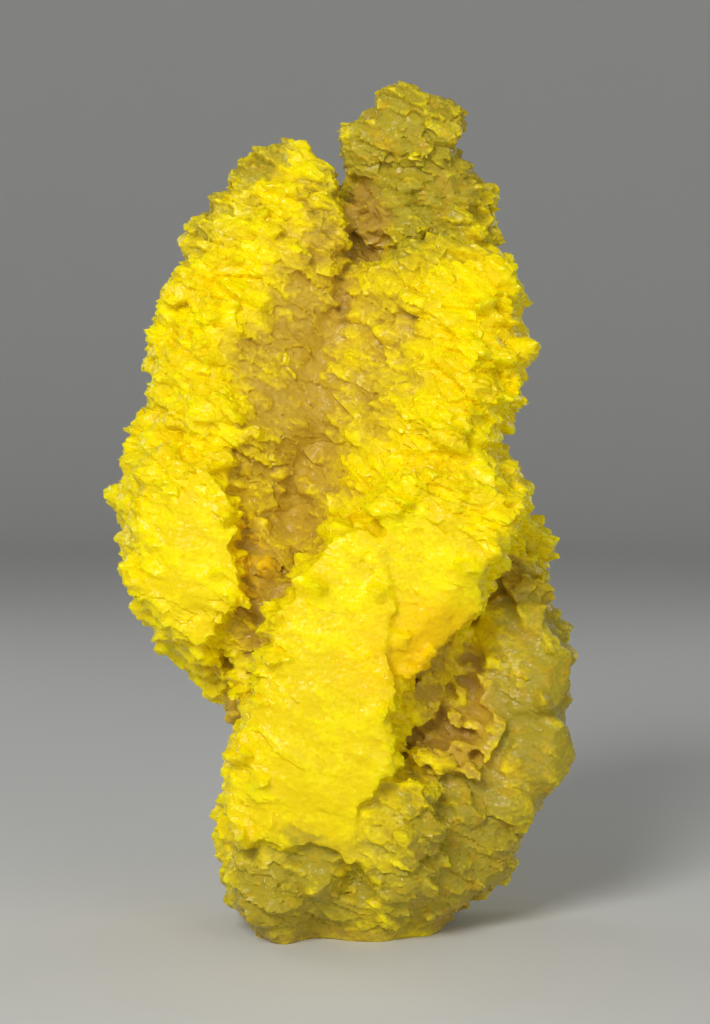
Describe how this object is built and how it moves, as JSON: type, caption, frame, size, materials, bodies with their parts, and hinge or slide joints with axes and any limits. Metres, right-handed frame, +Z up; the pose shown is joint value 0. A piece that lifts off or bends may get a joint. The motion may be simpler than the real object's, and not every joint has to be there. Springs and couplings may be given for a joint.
{
  "type": "native sulfur crystal",
  "caption": "Tall craggy mass of bright yellow native sulfur in parallel growth, with two upright lobes, a long front valley and a flat cut base.",
  "frame": {"origin": "middle of the bounding box's underside, on the surface that the crystal stands on", "axes": "+Z up, the longest extent; -Y towards the viewer of the front, where the valley and the rib are; +X to that viewer's right, on the side of the taller top; +Y front to back, the shortest extent"},
  "size_m": [0.0894, 0.058, 0.1598],
  "materials": {
    "sulfur": "translucent yellow native sulfur, resinous to greasy shine on small broken and grown faces"
  },
  "bodies": {
    "root": {"sulfur_crystal_mass": "sulfur"}
  },
  "joints": []
}
